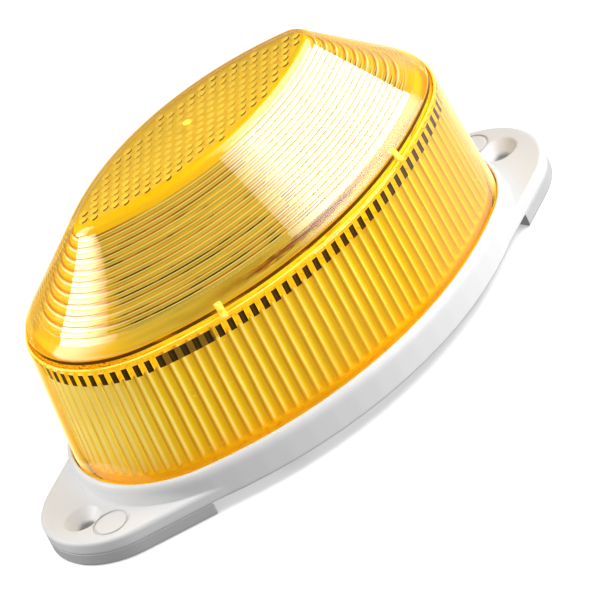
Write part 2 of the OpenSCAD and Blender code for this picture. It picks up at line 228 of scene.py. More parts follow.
def skin_material(name, gain, most, solid, smooth=0.005):
    """Polished clear plastic: a mirror over a see-through body that is solid amber seen edge on.
    Edge on it also turns pale, a painted highlight, and glows more, a painted glow.

    gain and most set how strongly it mirrors, solid the facing at which it turns solid.
    """
    mat, t = material(name)
    co = node(t, "ShaderNodeTexCoord").outputs["Object"]
    waves = noise(t, co, 45, 2.0)
    specks = noise(t, co, 420, 3.0)
    bump = node(t, "ShaderNodeBump", {"Strength": 0.04, "Distance": 0.0006, "Height": waves}).outputs[0]
    fresnel = node(t, "ShaderNodeFresnel", {"IOR": 1.5, "Normal": bump}).outputs[0]
    mirror = maths(t, "MINIMUM", maths(t, "MULTIPLY", fresnel, gain), most)
    facing = node(t, "ShaderNodeLayerWeight", {"Blend": 0.5}).outputs["Facing"]
    clear = node(t, "ShaderNodeBsdfTransparent", {"Color": (1.0, 0.985, 0.93, 1)})
    full = mix(t, rise(t, waves, 0.35, 0.65), srgb("F4BC20"), srgb("EDB02C"))
    # Turning pale at the very edge is a painted highlight, and the emission rising edge on is a painted
    # glow.
    tone = mix(t, rise(t, facing, 0.78, 0.95), full, srgb("FFE9A8"))
    edge = {
        "Base Color": tone,
        "Roughness": 0.4,
        "Specular IOR Level": 0.2,
        "Emission Color": tone,
        "Emission Strength": levels(t, facing, (0.65, 0.4), (0.9, 1.0)),
    }
    edge_on = rise(t, facing, solid - 0.08, solid + 0.08)
    body = node(
        t,
        "ShaderNodeMixShader",
        {0: edge_on, 1: clear.outputs[0], 2: node(t, "ShaderNodeBsdfPrincipled", edge).outputs[0]},
    )
    rough = maths(t, "MULTIPLY_ADD", specks, 0.05, smooth)
    gloss = node(t, "ShaderNodeBsdfGlossy", {"Color": (1, 1, 1, 1), "Roughness": rough, "Normal": bump})
    output(t, node(t, "ShaderNodeMixShader", {0: mirror, 1: body.outputs[0], 2: gloss.outputs[0]}))
    return mat


def finish_core(t, colour, rough, height, bump, painted_glow):
    """The amber plastic's inner face, coloured by the given socket and given a little painted glow, an
    emission that stands in for light shining through the amber.
    """
    relief = node(t, "ShaderNodeBump", {"Strength": bump, "Distance": 0.0002, "Height": height})
    surface = {
        "Base Color": colour,
        "Roughness": rough,
        "Specular IOR Level": 0.1,
        "Normal": relief.outputs[0],
        "Emission Color": colour,
        "Emission Strength": painted_glow,
    }
    output(t, node(t, "ShaderNodeBsdfPrincipled", surface))


def pattern(t):
    """The lens mesh's pattern coordinates: both together, the flute number, and the height or ring."""
    uv = node(t, "ShaderNodeUVMap", uv_map="pattern").outputs[0]
    sep = node(t, "ShaderNodeSeparateXYZ", {0: uv})
    return uv, sep.outputs[0], sep.outputs[1]


def end_share(t, start, full):
    """0 on the lens's long sides and 1 round its two ends."""
    zone = node(t, "ShaderNodeAttribute", attribute_name="zone").outputs["Fac"]
    return rise(t, zone, start, full)


def streak(t, uv, across, along, seed, detail=2.0):
    """Noise stretched along one pattern direction."""
    ins = {"Vector": uv, "Location": (seed, seed, seed), "Scale": (across, along, 1.0)}
    return noise(t, node(t, "ShaderNodeMapping", ins).outputs[0], 1, detail)


def flute_material():
    """Inner wall: per flute a pale stripe of painted highlight, a full one and a tan stripe of painted
    shade, turning orange near the rim; round the ends and high up painted paler with a dark line per
    flute, painted light and shade.
    """
    mat, t = material("amber_flutes")
    uv, u, v = pattern(t)
    height = maths(t, "DIVIDE", v, WALL_SPAN)
    wander = maths(t, "MULTIPLY_ADD", streak(t, uv, 0.9, 0.05, 3.0), 0.25, -0.12)
    phase = maths(t, "FRACT", maths(t, "ADD", maths(t, "FRACT", u), wander))
    # On each flute the pale stripe is a painted highlight and the tan stripe is painted shade.
    stripes = ramp(
        t,
        phase,
        [
            (0.0, srgb("E8BE30")),
            (0.07, srgb("FAE468")),
            (0.15, srgb("FFF9B8")),
            (0.26, srgb("F8DC24")),
            (0.55, srgb("F2C800")),
            (0.72, srgb("E2B82C")),
            (0.86, srgb("B98A12")),
            (0.94, srgb("CDA01E")),
            (1.0, srgb("E8BE30")),
        ],
    )
    low = levels(t, height, (0.02, 0.7), (0.12, 0.3), (0.4, 0.06), (1.0, 0.0))
    warm = mix(t, low, stripes, srgb("F0B000"))
    tanned = mix(t, rise(t, streak(t, uv, 0.06, 0.05, 9.0), 0.42, 0.62, 0.5), warm, srgb("DDB52C"))
    # Round the ends and high up: painted paler, with a dark line per flute, painted light and shade of the
    # flutes.
    line = levels(t, phase, (0.7, 0.0), (0.84, 1.0), (0.95, 0.6), (1.0, 0.0))
    pale = mix(t, line, srgb("FCEB84"), srgb("BC941E"))
    high = levels(t, height, (0.02, 0.1), (0.3, 0.35), (0.8, 0.6))
    tone = mix(t, maths(t, "MULTIPLY", end_share(t, 0.6, 1.0), high), tanned, pale)
    specks = rise(t, streak(t, uv, 3.0, 1.2, 5.0), 0.70, 0.76, 0.45)
    finish_core(t, mix(t, specks, tone, srgb("FFF0A0")), 0.28, streak(t, uv, 2.0, 0.6, 1.0), 0.15, 0.31)
    return mat


def prism_material():
    """Roof rings: an olive band, a painted dark reflection; a bright line, a painted highlight; and an
    orange line that breaks up into brown and black, painted shade.

    Round the ends, where the rings are seen from the side, each two rings are painted as one bright arc, a
    painted highlight.
    """
    mat, t = material("amber_prisms")
    uv, _, v = pattern(t)
    phase = maths(t, "FRACT", v)
    slow = streak(t, uv, 0.10, 0.9, 2.0)
    deep = streak(t, uv, 0.045, 0.45, 7.0, 1.0)
    quick = streak(t, uv, 0.30, 0.9, 4.0, 5.0)
    # The olive band is a painted dark reflection.
    olive = mix(t, rise(t, slow, 0.35, 0.65), srgb("C9B850"), srgb("B0A232"))
    gold = mix(t, rise(t, quick, 0.4, 0.6), srgb("E3B414"), srgb("CE9400"))
    brown = mix(t, rise(t, deep, 0.40, 0.52), gold, srgb("B46A00"))
    broken = maths(t, "MULTIPLY_ADD", quick, 0.5, maths(t, "MULTIPLY", deep, 0.5))
    low = levels(t, maths(t, "DIVIDE", v, 20.0), (0.0, 1.0), (0.62, 0.9), (0.8, 0.2))
    # The orange line breaking into brown and black is painted shade along each ring.
    line = mix(t, maths(t, "MULTIPLY", rise(t, broken, 0.51, 0.55), low), brown, srgb("3A2104"))
    # The bright arcs round the ends are a painted highlight.
    arcs = ramp(
        t,
        maths(t, "FRACT", maths(t, "MULTIPLY", v, 0.5)),
        [
            (0.0, srgb("DE9E00")),
            (0.12, srgb("F2C410")),
            (0.52, srgb("F6D02A")),
            (0.64, srgb("FFF0B0")),
            (0.78, srgb("FFF0B0")),
            (0.88, srgb("D69600")),
            (1.0, srgb("DE9E00")),
        ],
    )
    at_soft = levels(t, phase, (0.0, 1.0), (0.06, 0.0), (0.84, 0.0), (0.9, 1.0))
    # at_bright marks the pale line, a painted highlight; at_line marks the orange line, painted shade.
    at_bright = levels(t, phase, (0.36, 0.0), (0.42, 1.0), (0.50, 1.0), (0.54, 0.0))
    at_line = levels(t, phase, (0.52, 0.0), (0.57, 1.0), (0.80, 1.0), (0.86, 0.0))
    band = mix(t, at_bright, mix(t, at_soft, olive, srgb("D8B23A")), srgb("F8E884"))
    front = mix(t, at_line, band, line)
    finish_core(t, mix(t, end_share(t, 0.55, 0.85), front, arcs), 0.25, quick, 0.12, 0.32)
    return mat


def plain_amber(name, colour, dark, scale=(3.0, 1.0), painted_glow=0.4, cut=(0.55, 0.66), bump=0.3):
    """Amber plastic of one colour, mottled along the pattern with a darker tone."""
    mat, t = material(name)
    uv, _, _ = pattern(t)
    fine = streak(t, uv, scale[0], scale[1], 6.0, 4.0)
    shade = tuple(c * 0.86 for c in colour)
    base = mix(t, rise(t, streak(t, uv, 0.15, 0.2, 1.0), 0.3, 0.7), colour, shade)
    finish_core(t, mix(t, rise(t, fine, *cut), base, dark), 0.3, fine, bump, painted_glow)
    return mat


def stipple_material():
    """Floor and lower wall of the groove: clear yellow on the long sides, speckled orange at the ends."""
    mat, t = material("amber_stipple")
    uv, _, _ = pattern(t)
    dots = rise(t, streak(t, uv, 5.0, 3.0, 6.0, 4.0), 0.52, 0.6)
    thin = rise(t, streak(t, uv, 0.5, 2.0, 2.0, 3.0), 0.55, 0.62)
    speckled = mix(t, dots, srgb("EFA60C"), srgb("8A4E00"))
    clear = mix(t, thin, srgb("F5CB22"), srgb("D79A08"))
    finish_core(t, mix(t, end_share(t, 0.45, 0.8), clear, speckled), 0.3, dots, 0.5, 0.36)
    return mat


def roof_foot_material():
    """Plain band under the rings: olive on the long sides, a painted dark reflection, with a torn brown
    streak of painted shade along the front, and yellow at the ends.
    """
    mat, t = material("amber_roof_foot")
    uv, u, v = pattern(t)
    cloud = streak(t, uv, 0.12, 0.25, 1.0)
    # Olive on the long sides is a painted dark reflection.
    olive = mix(t, rise(t, cloud, 0.4, 0.6), srgb("D4B638"), srgb("BE9C26"))
    tone = mix(t, end_share(t, 0.45, 0.8), olive, srgb("F2C414"))
    # The torn brown streak along the front is painted shade.
    torn = maths(t, "MULTIPLY_ADD", streak(t, uv, 0.8, 2.5, 5.0, 6.0), 3.0, -1.5)
    height = maths(t, "DIVIDE", maths(t, "ADD", v, torn), 20.0)
    band = levels(t, height, (0.82, 0.0), (0.86, 1.0), (0.90, 1.0), (0.94, 0.0))
    way_round = maths(t, "DIVIDE", u, float(FLUTES))
    in_front = levels(t, way_round, (0.03, 1.0), (0.11, 0.0), (0.90, 0.0), (0.95, 1.0))
    shreds = rise(t, streak(t, uv, 0.4, 3.0, 9.0, 3.0), 0.45, 0.6)
    brown = mix(t, shreds, srgb("A86400"), srgb("4E2C04"))
    finish_core(t, mix(t, maths(t, "MULTIPLY", band, in_front), tone, brown), 0.3, cloud, 0.1, 0.25)
    return mat


def window_material():
    """The pockets under the shoulder, painted dark as shade in the recesses, a little lighter along their
    middles.
    """
    mat, t = material("amber_windows_shaded")
    uv, u, _ = pattern(t)
    middle = ramp(
        t,
        maths(t, "FRACT", u),
        [
            (0.25, srgb("2E1F06")),
            (0.42, srgb("5E4516")),
            (0.55, srgb("4E3810")),
            (0.72, srgb("2A1B05")),
        ],
    )
    blot = streak(t, uv, 1.7, 0.8, 8.0)
    tone = mix(t, rise(t, blot, 0.45, 0.7, 0.6), middle, srgb("3A2A0A"))
    finish_core(t, tone, 0.35, blot, 0.1, 0.02)
    return mat


LENS_MATERIALS = (
    skin_material("amber_skin_wall", 1.0, 0.30, 0.70),
    skin_material("amber_skin_roof", 2.8, 0.42, 0.64),
    skin_material("amber_skin_soft", 1.2, 0.28, 0.64, 0.1),
    flute_material(),
    prism_material(),
    window_material(),
    plain_amber("amber_band", srgb("FFD81E"), srgb("F0B400")),
    plain_amber("amber_foot", srgb("F2BC08"), srgb("E2A400"), (2.0, 0.8), 0.34, bump=0.05),
    stipple_material(),
    # Pale: a painted highlight along the shoulder's crest, and the colour of the catches and gate mark.
    plain_amber("amber_pale_and_highlight", srgb("FBE460"), srgb("F2C428"), (0.4, 0.6), 0.42, (0.5, 0.62)),
    # Dark brown: a painted shadow on the groove's inner wall.
    plain_amber("amber_groove_shadow", srgb("6B4206"), srgb("D08A00"), (0.35, 0.6), 0.02, (0.56, 0.72)),
    # The ceiling, painted a little darker than the lentils: painted shade.
    plain_amber("amber_ceiling_shade", srgb("F2CC34"), srgb("EABC34"), (1.0, 1.0), 0.36),
    plain_amber("amber_fillet", srgb("F2C400"), srgb("EDB400"), (0.6, 0.6), 0.32),
    roof_foot_material(),
    plain_amber("amber_window_gaps", srgb("A07C1C"), srgb("7A5A18"), (0.8, 0.6), 0.12),
)
LENS_SLOT = {m.name: i for i, m in enumerate(LENS_MATERIALS)}
PALE_AMBER_AND_HIGHLIGHT = LENS_MATERIALS[LENS_SLOT["amber_pale_and_highlight"]]
# Dark faces low on one side of each lentil: painted shade.
LENTIL_SHADE = plain_amber("amber_lentil_shade", srgb("7A4E04"), srgb("C89018"), (0.25, 0.25), 0.12, (0.5, 0.6))
# The lentils, a paler copy of the ceiling's amber: painted light.
LENTIL = plain_amber("amber_lentils", srgb("F7DC50"), srgb("F2CC40"), (1.0, 1.0), 0.4)

# ---------------------------------------------------------------- lens

STEPS = 8
COUNT = FLUTES * STEPS
TRACK = oval_track(COUNT)
# The roof has no flutes, so above this height the lens keeps only every second column of the wall
ROOF_STRIDE = 2
ROOF_STRIDE_FROM = 27.2

# Offsets inward from the oval, and heights above the rim
SHOULDER_OFF, SHOULDER_Z = 1.55, 25.1
SHOULDER_ACROSS, SHOULDER_UP, SHOULDER_STEPS = 0.45, 1.0, 5
GROOVE_Z = 25.5
ROOF_OFF, ROOF_Z = 2.75, 27.9
TOP_OFF, TOP_Z = 19.8, 45.9
FLAT_OFF = 21.2
CROWN = 0.48
FLAT_WALL = 1.15

# The roof's slope: a plain foot, the rings, and a plain band at the top
ROOF_RUN, ROOF_RISE = TOP_OFF - ROOF_OFF, TOP_Z - ROOF_Z
ROOF_LEN = math.hypot(ROOF_RUN, ROOF_RISE)
RINGS = 18
PLAIN_FOOT, PLAIN_TOP = 3.8, 2.1
RING_PITCH = (ROOF_LEN - PLAIN_FOOT - PLAIN_TOP) / RINGS

# The wall leans inward by WALL_DRAFT up to the top of its flutes
FLUTE_DEPTH, FLUTE_TOP, WALL_DRAFT = 0.75, 22.0, 1.4
# The window at the head of each flute spans these of the flute's STEPS columns of points
WINDOW_DEPTH, WINDOW_FROM, WINDOW_TO = 0.9, 2, 6
# Where the screw columns stand, along the lens
COLUMN_FROM, COLUMN_TO = 27.5, 38.0


def roof_point(s, depth):
    """(offset, height) of the point s up the roof slope and depth below its surface."""
    ux, uz = ROOF_RUN / ROOF_LEN, ROOF_RISE / ROOF_LEN
    return ROOF_OFF + s * ux + depth * uz, ROOF_Z + s * uz - depth * ux


def beside_column(x, y):
    """True where a screw column stands just behind the lens's windows."""
    return COLUMN_FROM < abs(x) < COLUMN_TO and x * y > 0


Row = namedtuple("Row", "off z scale v slot kind")


def lens_rows():
    """Rows from the bottom edge over the outside and back down the inside, and how many are outside.

    A row's material slot is that of the strip to the next row, and v is its pattern coordinate.
    """
    rows = []

    def add(off, z, mat, v, scale=1.0, kind=None):
        rows.append(Row(off, z, scale, v, LENS_SLOT[mat], kind))

    wall, roof, soft = "amber_skin_wall", "amber_skin_roof", "amber_skin_soft"
    # skirt and outer wall
    add(0.25, -2.6, "amber_foot", -2.6)
    add(0.0, -2.3, "amber_foot", -2.3)
    for off, z in ((0.0, 0.0), (0.45, 7.1), (0.92, 14.5), (1.4, 22.0), (SHOULDER_OFF, SHOULDER_Z)):
        add(off, z, wall, z)
    # shoulder: a quarter round up to the crest
    for i in range(1, SHOULDER_STEPS + 1):
        t = i / SHOULDER_STEPS * math.pi / 2
        off = SHOULDER_OFF + SHOULDER_ACROSS * (1 - math.cos(t))
        z = SHOULDER_Z + SHOULDER_UP * math.sin(t)
        # The top of the round is painted pale, a painted highlight on the crest.
        add(off, z, wall if i < 3 else "amber_pale_and_highlight", SHOULDER_Z + i * 0.3)
    # groove between the crest and the roof
    add(2.15, 26.02, "amber_stipple", 27.0)
    add(2.30, GROOVE_Z, "amber_stipple", 27.6)
    add(2.50, GROOVE_Z, "amber_stipple", 27.8)
    # The groove's inner wall is painted dark brown, a painted shadow.
    add(2.53, 26.75, "amber_groove_shadow", 29.0)
    add(2.55, 27.5, wall, 29.8)
    add(2.62, 27.8, wall, 30.2)
    # roof: a slightly bulging foot, then one small step per ring
    for s, bulge in ((0.12, 0.01), (0.7, 0.03), (1.5, 0.04), (2.4, 0.03), (3.2, 0.01)):
        add(*roof_point(s, -bulge), soft if s < 2 else roof, 30.4 + s)
    add(*roof_point(PLAIN_FOOT, 0.0), roof, 34.5)
    for j in range(RINGS + 1):
        s = PLAIN_FOOT + j * RING_PITCH
        add(*roof_point(s + 0.08, 0.05), roof, j)
        add(*roof_point(s + 0.16, 0.0), roof, j)
        if j < RINGS:
            add(*roof_point(s + RING_PITCH, 0.0), roof, j + 0.9)
    # rounded edge of the top, and the slightly crowned top
    add(*roof_point(ROOF_LEN - PLAIN_TOP + 0.7, -0.06), soft, 49)
    add(*roof_point(ROOF_LEN - 0.8, -0.06), soft, 49.5)
    add(TOP_OFF, TOP_Z, soft, 50)
    add(20.15, 46.1, roof, 50.4)
    add(20.6, 46.26, roof, 50.8)
    add(FLAT_OFF, 46.42, roof, 51.3)
    for scale in (0.9, 0.75, 0.55, 0.35, 0.18):
        add(FLAT_OFF, LENS_H - CROWN * scale**2, roof, 52 + 10 * (1 - scale), scale)
    outside = len(rows)
    # inside: ceiling, its fillet, the ring prisms, and the plain foot of the roof
    # The ceiling is painted a little darker than its lentils, a painted shade.
    for scale in (0.15, 0.5, 0.8, 0.93):
        add(FLAT_OFF, LENS_H - FLAT_WALL - 0.3 * scale**2, "amber_ceiling_shade", 70, scale)
    add(FLAT_OFF, LENS_H - 1.45, "amber_fillet", 71)
    add(20.4, LENS_H - 1.55, "amber_fillet", 71.5)
    add(*roof_point(ROOF_LEN - 0.8, 0.85), "amber_fillet", 72)
    for j in reversed(range(RINGS)):
        s = PLAIN_FOOT + j * RING_PITCH
        add(*roof_point(s + RING_PITCH - 0.05, 1.25), "amber_prisms", j + 0.999)
        add(*roof_point(s + RING_PITCH * 0.86, 0.95), "amber_prisms", j + 0.86)
        add(*roof_point(s + 0.05, 1.30), "amber_prisms", j + 0.001)
    add(*roof_point(PLAIN_FOOT - 0.3, 1.2), "amber_roof_foot", 20)
    add(*roof_point(0.6, 1.3), "amber_roof_foot", 16)
    # inside the shoulder, the windows, the flutes and the skirt
    add(3.9, 27.0, "amber_foot", 15)
    add(3.75, 26.2, "amber_band", 26.0)
    add(2.9, 25.2, "amber_band", 25.2)
    add(2.75, 24.66, "amber_flutes", 24.66)
    # The windows are painted dark, a painted shade in their recesses.
    add(2.75, 24.62, "amber_windows_shaded", 24.6, kind="window")
    add(2.65, 22.05, "amber_flutes", 22.05, kind="window")
    add(2.65, FLUTE_TOP, "amber_flutes", FLUTE_TOP, kind="flute")
    for z in (18.0, 13.0, 8.0, 3.4):
        add(WALL_DRAFT * z / FLUTE_TOP + 1.25, z, "amber_flutes", z, kind="flute")
    add(1.30, 1.0, "amber_foot", 1.0, kind="flute")
    add(1.50, 0.4, "amber_foot", 0.4)
    add(1.9, -2.4, "amber_foot", -2.4)
    add(1.75, -2.6, "amber_foot", -2.6)
    return rows, outside


def build_lens():
    rows, outside = lens_rows()
    flute = [0.5 - 0.5 * math.cos(2 * math.pi * (i + 0.5) / STEPS) for i in range(STEPS)]
    verts, zone, starts, strides = [], [], [], []
    for row in rows:
        starts.append(len(verts))
        strides.append(ROOF_STRIDE if row.z > ROOF_STRIDE_FROM else 1)
        for i in range(0, COUNT, strides[-1]):
            x, y, nx, ny = TRACK[i]
            d = row.off
            if row.kind == "flute":
                d = row.off + FLUTE_DEPTH * flute[i % STEPS] ** 0.7
            if row.kind == "window":
                in_window = WINDOW_FROM <= i % STEPS <= WINDOW_TO
                d = row.off - (WINDOW_DEPTH if in_window or beside_column(x, y) else 0.0) + 0.2
            verts.append(((x - nx * d) * row.scale, (y - ny * d) * row.scale, RIM_Z + row.z))
            zone.append(abs(nx))
    top, under = len(verts), len(verts) + 1
    verts += [(0, 0, RIM_Z + LENS_H), (0, 0, RIM_Z + LENS_H - FLAT_WALL)]
    zone += [0, 0]
    faces, slots, uvs = [], [], []

    def corner(k, i):
        """The vertex of row k at column i."""
        return starts[k] + (i % COUNT) // strides[k]

    def face(k0, k1, i, step, slot):
        """Join rows k0 and k1 between columns i and i + step."""
        near = range(i, i + step + 1, strides[k0])
        far = range(i + step, i - 1, -strides[k1])
        faces.append([corner(k0, c) for c in near] + [corner(k1, c) for c in far])
        slots.append(slot)
        uvs.append([(c / STEPS, rows[k0].v) for c in near] + [(c / STEPS, rows[k1].v) for c in far])

    last = len(rows) - 1
    for k in range(last):
        if k == outside - 1:
            continue
        step = max(strides[k], strides[k + 1])
        for i in range(0, COUNT, step):
            slot = rows[k].slot
            if slot == LENS_SLOT["amber_windows_shaded"] and not WINDOW_FROM <= i % STEPS < WINDOW_TO:
                slot = LENS_SLOT["amber_window_gaps" if beside_column(*TRACK[i][:2]) else "amber_band"]
            face(k, k + 1, i, step, slot)
    for i in range(COUNT):
        face(last, 0, i, 1, LENS_SLOT["amber_foot"])
    # the outer skin and the inside close in a fan each, at the middle of the top
    for i in range(0, COUNT, ROOF_STRIDE):
        j = i + ROOF_STRIDE
        faces.append((corner(outside - 1, i), corner(outside - 1, j), top))
        slots.append(LENS_SLOT["amber_skin_roof"])
        faces.append((corner(outside, j), corner(outside, i), under))
        slots.append(LENS_SLOT["amber_ceiling_shade"])
        uvs += [((i / STEPS, 62), (j / STEPS, 62), (i / STEPS, 64))] * 2
    obj = new_object("lens_body", verts, faces, LENS_MATERIALS, slots, uvs)
    attr = obj.data.attributes.new("zone", "FLOAT", "POINT")
    attr.data.foreach_set("value", zone)
    obj.data.set_sharp_from_angle(angle=math.radians(22))
    return obj


lens = build_lens()
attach(lens, "lens")
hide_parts("lens")

LENTIL_PITCH_X, LENTIL_PITCH_Y = 2.83, 1.56
LENTIL_LONG, LENTIL_WIDE, LENTIL_TALL = 1.0, 0.72, 0.7
LENTIL_LEAN = 0.12
LENTIL_EDGE = 21.6


def lentil_fits(x, y):
    """True where a lentil's middle is inside the flat ceiling."""
    if abs(x) > END_X:
        return math.hypot(abs(x) - END_X, y) < END_R - LENTIL_EDGE
    side = SIDE_R - LENTIL_EDGE
    return abs(y) < math.sqrt(side * side - x * x) - SIDE_Y


def build_top_scales():
    """Staggered rows of small lentils moulded in the ceiling, seen through the roof's flat top, with
    painted shade on a few faces low on one side of each.
    """
    verts, faces, mats = [], [], []
    around, rings = 16, 3
    # These faces on one side of each lentil's lowest ring get painted shade.
    shaded = range(10, 15)
    ceiling = RIM_Z + LENS_H - 1.5

    def add_lentil(x, y):
        start = len(verts)
        for k in range(rings):
            lat = k / rings * math.pi / 2
            lean = LENTIL_LEAN * k
            for i in range(around):
                t = i * 2 * math.pi / around
                verts.append((
                    x + LENTIL_LONG * math.cos(lat) * math.cos(t) - lean,
                    y + LENTIL_WIDE * math.cos(lat) * math.sin(t) - lean,
                    ceiling + LENTIL_TALL * math.sin(lat),
                ))
        verts.append((x - LENTIL_LEAN * rings, y - LENTIL_LEAN * rings, ceiling + LENTIL_TALL))
        for k in range(rings - 1):
            for i in range(around):
                j = (i + 1) % around
                low, high = start + k * around, start + (k + 1) * around
                faces.append((low + i, low + j, high + j, high + i))
                mats.append(1 if k == 0 and i in shaded else 0)
        for i in range(around):
            high = start + (rings - 1) * around
            faces.append((high + i, high + (i + 1) % around, len(verts) - 1))
            mats.append(0)
        faces.append(tuple(start + i for i in reversed(range(around))))
        mats.append(0)

    rows = int(LENS_B / LENTIL_PITCH_Y)
    cols = int(LENS_A / LENTIL_PITCH_X)
    for r in range(-rows, rows + 1):
        for c in range(-cols, cols + 1):
            x = (c + 0.5 * (r % 2)) * LENTIL_PITCH_X
            y = r * LENTIL_PITCH_Y
            if lentil_fits(x, y):
                add_lentil(x, y)
    uvs = [[(verts[i][0] / 2, verts[i][1] / 2) for i in f] for f in faces]
    return new_object("lens_top_prisms", verts, faces, [LENTIL, LENTIL_SHADE], mats, uvs)


scales = build_top_scales()
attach(scales, "lens")


def build_catches():
    """Four moulded bridges across the groove, each a small rounded bar over a lens column."""
    verts, faces = [], []
    column_x, column_y = 24.4, 27.6
    half_width = thickness = 0.75
    lean_out, lean_up = 0.75, 0.5
    path = ((1.75, 25.3), (2.0, 25.75), (2.5, 26.3), (2.68, 27.2), (3.2, 27.9), (3.6, 28.0))
    arc = [k / 8 * math.pi for k in range(9)]
    section = [(half_width * math.cos(t), thickness * math.sin(t) ** 0.8) for t in arc]
    m, n = len(path), len(section)
    for cx, cy in [(column_x * sx, column_y * sy) for sx in (-1, 1) for sy in (-1, 1)]:
        x, y, nx, ny = min(TRACK, key=lambda p: math.hypot(p[0] - cx, p[1] - cy))
        start = len(verts)
        for off, z in path:
            for across, h in section:
                out = lean_out * h - off
                height = RIM_Z + z + h * lean_up
                verts.append((x - ny * across + nx * out, y + nx * across + ny * out, height))
        for j in range(m - 1):
            low, high = start + j * n, start + (j + 1) * n
            for k in range(n):
                after = (k + 1) % n
                faces.append((low + k, low + after, high + after, high + k))
        faces.append(tuple(start + k for k in reversed(range(n))))
        faces.append(tuple(start + (m - 1) * n + k for k in range(n)))
    uvs = [[(verts[i][0] / 2, verts[i][2]) for i in f] for f in faces]
    obj = new_object("lens_catches", verts, faces, [PALE_AMBER_AND_HIGHLIGHT], uvs=uvs)
    bm = bmesh.new()
    bm.from_mesh(obj.data)
    bmesh.ops.recalc_face_normals(bm, faces=bm.faces)
    bm.to_mesh(obj.data)
    bm.free()
    return obj


def build_gate_mark():
    """Raised, slightly torn ring where the moulding gate left the top's middle."""
    verts, faces = [], []
    around = 24
    lip = ((0.9, -0.05), (0.87, 0.08), (0.72, 0.14), (0.55, 0.08), (0.45, 0.02))
    profile = (*lip, (0.3, 0.04), (0.12, 0.2))
    for radius, h in profile:
        for i in range(around):
            t = i * 2 * math.pi / around
            r = radius * (1 + 0.05 * math.sin(3 * t + radius))
            verts.append((r * math.cos(t), r * math.sin(t), RIM_Z + LENS_H + h))
    rows = len(profile)
    for k in range(rows - 1):
        low, high = k * around, (k + 1) * around
        for i in range(around):
            j = (i + 1) % around
            faces.append((low + i, low + j, high + j, high + i))
    faces.append(tuple(reversed(range(around))))
    faces.append(tuple((rows - 1) * around + i for i in range(around)))
    uvs = [[(verts[i][0], verts[i][1]) for i in f] for f in faces]
    return new_object("lens_gate_mark", verts, faces, [PALE_AMBER_AND_HIGHLIGHT], uvs=uvs)


gate_mark = build_gate_mark()
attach(gate_mark, "lens")
catches = build_catches()
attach(catches, "lens")

# ---------------------------------------------------------------- CAD nodes' materials

# slot: colour, roughness, grain scale, bump, mottling, specular, metallic, edge softening in metres
FINISHES = {
    "white_abs": ((0.80, 0.80, 0.805), 0.38, 1400, 0.05, 0.015, 0.45, 0.0, 0.0007),
    "foot_plastic": ((0.55, 0.55, 0.55), 0.5, 1200, 0.08, 0.03, 0.4, 0.0, 0.0004),
    "gasket_rubber": ((0.05, 0.05, 0.05), 0.8, 2500, 0.3, 0.3, 0.2),
    "screw_steel": ((0.62, 0.62, 0.60), 0.32, 3000, 0.12, 0.12, 0.5, 1.0, 0.0001),
    "grommet_rubber": ((0.035, 0.035, 0.037), 0.65, 2000, 0.2, 0.25, 0.3, 0.0, 0.0003),
    "board_green": ((0.02, 0.17, 0.07), 0.3, 800, 0.08, 0.25, 0.5),
    "reflector_white": ((0.85, 0.85, 0.83), 0.22, 1200, 0.05, 0.03, 0.5, 0.0, 0.0003),
    "socket_ceramic": ((0.80, 0.76, 0.66), 0.6, 2500, 0.2, 0.06, 0.3, 0.0, 0.0002),
    "electrode_metal": ((0.35, 0.35, 0.36), 0.35, 2500, 0.1, 0.1, 0.5, 1.0),
    "wire_nickel": ((0.75, 0.74, 0.71), 0.2, 4000, 0.05, 0.08, 0.5, 1.0),
    "coil_blue": ((0.03, 0.06, 0.24), 0.3, 1500, 0.15, 0.2, 0.5, 0.0, 0.0002),
    "capacitor_sleeve": ((0.03, 0.035, 0.12), 0.28, 1200, 0.1, 0.2, 0.5),
    "film_box": ((0.42, 0.05, 0.03), 0.35, 1500, 0.12, 0.12, 0.5, 0.0, 0.0002),
    "ferrite": ((0.07, 0.07, 0.075), 0.55, 3500, 0.35, 0.2, 0.4, 0.0, 0.0002),
    "bobbin_plastic": ((0.03, 0.03, 0.03), 0.45, 1500, 0.1, 0.15, 0.4),
    "winding_copper": ((0.55, 0.25, 0.08), 0.3, 4000, 0.5, 0.25, 0.5, 1.0),
    "epoxy_black": ((0.025, 0.025, 0.028), 0.5, 2200, 0.2, 0.15, 0.4, 0.0, 0.0001),
    "resistor_tan": ((0.62, 0.47, 0.28), 0.35, 1800, 0.1, 0.1, 0.5),
    "lead_tin": ((0.72, 0.72, 0.73), 0.28, 3500, 0.08, 0.1, 0.5, 1.0),
    "terminal_green": ((0.03, 0.27, 0.11), 0.42, 1400, 0.1, 0.1, 0.45, 0.0, 0.0002),
    "terminal_brass": ((0.72, 0.56, 0.26), 0.3, 2500, 0.1, 0.12, 0.5, 1.0),
}


